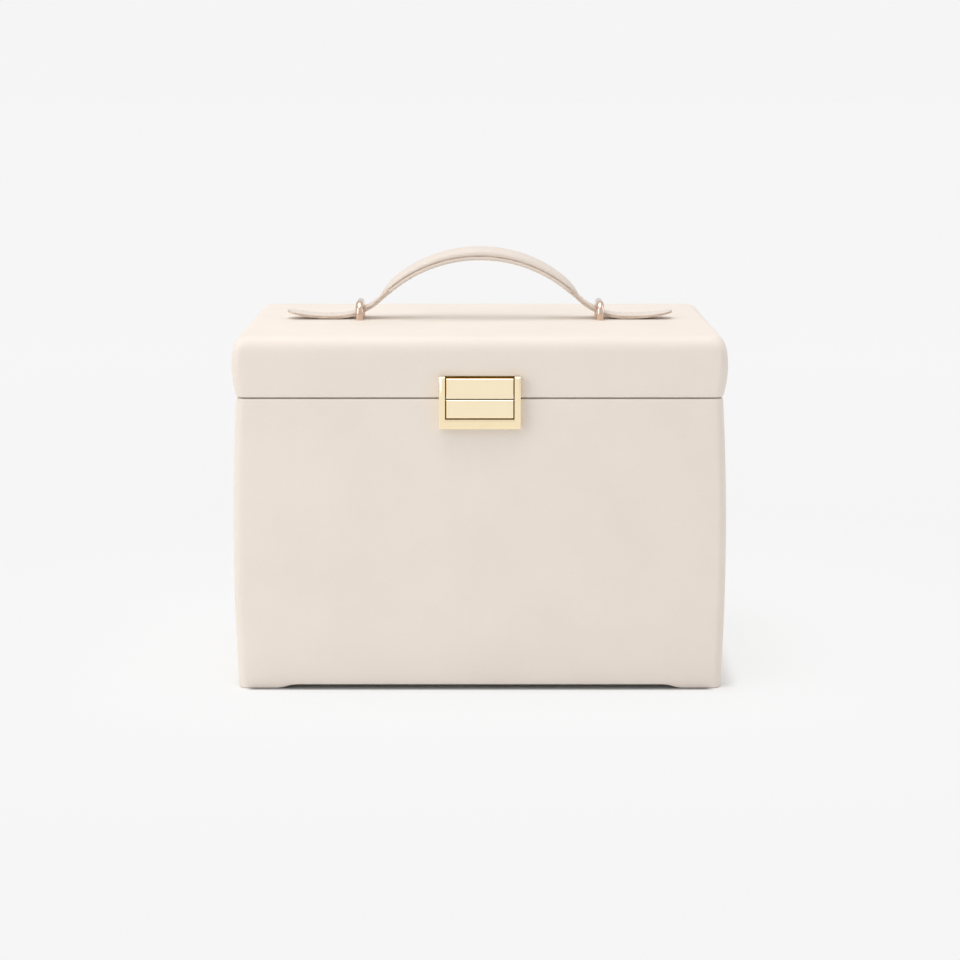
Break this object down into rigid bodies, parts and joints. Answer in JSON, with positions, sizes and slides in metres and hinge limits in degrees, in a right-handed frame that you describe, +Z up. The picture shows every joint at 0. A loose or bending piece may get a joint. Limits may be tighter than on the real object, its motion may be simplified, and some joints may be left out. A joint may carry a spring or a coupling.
{
  "type": "jewellery box",
  "caption": "Covered jewellery case in tiers, with a lift-up mirrored lid and ring tray, drawers behind a drop front, a strap handle and a push clasp.",
  "frame": {"origin": "middle of the footprint, on the surface the box stands on", "axes": "+Z up, -Y out of the front with the clasp, +X to the right seen from the front"},
  "size_m": [0.2596, 0.1906, 0.2266],
  "materials": {
    "leatherette": "fine pebble grain, satin, cream",
    "board": "board covered with smooth cream lining cloth",
    "velvet": "short velvet pile",
    "gold": "polished pale gold plate",
    "steel": "plain",
    "mirror": "polished"
  },
  "bodies": {
    "case": {"base_board": "board", "side_board_left": "board", "side_board_right": "board", "back_board": "board", "outer_cover": "leatherette", "shelf_lower": "board", "shelf_upper": "board", "tray_deck": "board", "tray_front_board": "board", "bay_lining": "velvet", "bay_divider_left": "board", "bay_divider_right": "board", "tray_liner": "velvet", "tray_divider_long": "velvet", "tray_divider_cross": "velvet", "ring_roll_1": "velvet", "ring_roll_2": "velvet", "ring_roll_3": "velvet", "ring_roll_4": "velvet", "foot_front_left": "leatherette", "foot_front_right": "leatherette", "foot_rear_left": "leatherette", "foot_rear_right": "leatherette", "flap_hinge_strip": "leatherette", "case_hinge_leaf_left": "gold", "case_hinge_leaf_right": "gold", "hinge_pin_left": "gold", "hinge_pin_right": "gold", "case_hinge_screws": "gold", "case_magnets": "steel"},
    "lid": {"lid_frame": "board", "lid_top_board": "board", "lid_cover": "leatherette", "lid_lining": "velvet", "mirror": "mirror", "mirror_frame": "gold", "lid_hinge_leaf_left": "gold", "lid_hinge_leaf_right": "gold", "lid_hinge_screws": "gold", "hasp_plate": "gold", "handle_loop_left": "gold", "handle_loop_right": "gold"},
    "flap": {"flap_board": "board", "flap_cover": "leatherette", "flap_lining": "velvet", "flap_plates": "steel", "clasp_frame": "gold", "clasp_spring": "steel"},
    "clasp_button": {"clasp_button": "gold"},
    "drawer_upper": {"drawer_upper_front": "leatherette", "drawer_upper_tray": "velvet", "drawer_upper_divider": "velvet", "drawer_upper_knob": "gold"},
    "drawer_lower": {"drawer_lower_front": "leatherette", "drawer_lower_tray": "velvet", "drawer_lower_divider": "velvet", "drawer_lower_knob": "gold"},
    "handle": {"handle_strap": "leatherette", "handle_grip": "leatherette"}
  },
  "joints": [
    {"name": "lid_hinge", "type": "hinge", "parent": "case", "child": "lid", "pos_m": [0, 0.09285, 0.1553], "axis": [-1, 0, 0], "range_deg": [0, 100]},
    {"name": "flap_hinge", "type": "hinge", "parent": "case", "child": "flap", "pos_m": [0, -0.08985, 0.002], "axis": [1, 0, 0], "range_deg": [0, 87]},
    {"name": "drawer_upper_slide", "type": "slide", "parent": "case", "child": "drawer_upper", "axis": [0, -1, 0], "range_m": [0, 0.065]},
    {"name": "drawer_lower_slide", "type": "slide", "parent": "case", "child": "drawer_lower", "axis": [0, -1, 0], "range_m": [0, 0.095]},
    {"name": "clasp_press", "type": "slide", "parent": "flap", "child": "clasp_button", "axis": [0, 1, 0], "range_m": [0, 0.0015], "stiffness_N_per_m": 300, "springref_m": -0.001, "deforming": ["clasp_spring"]},
    {"name": "handle_sink", "type": "slide", "parent": "lid", "child": "handle", "axis": [0, 0, -1], "range_m": [0, 0.015], "deforming": ["handle_strap"]}
  ],
  "couplings": [
    {"joint": "drawer_upper_slide", "follows": "flap_hinge", "m_per_rad": 0.042},
    {"joint": "drawer_lower_slide", "follows": "flap_hinge", "m_per_rad": 0.062}
  ]
}
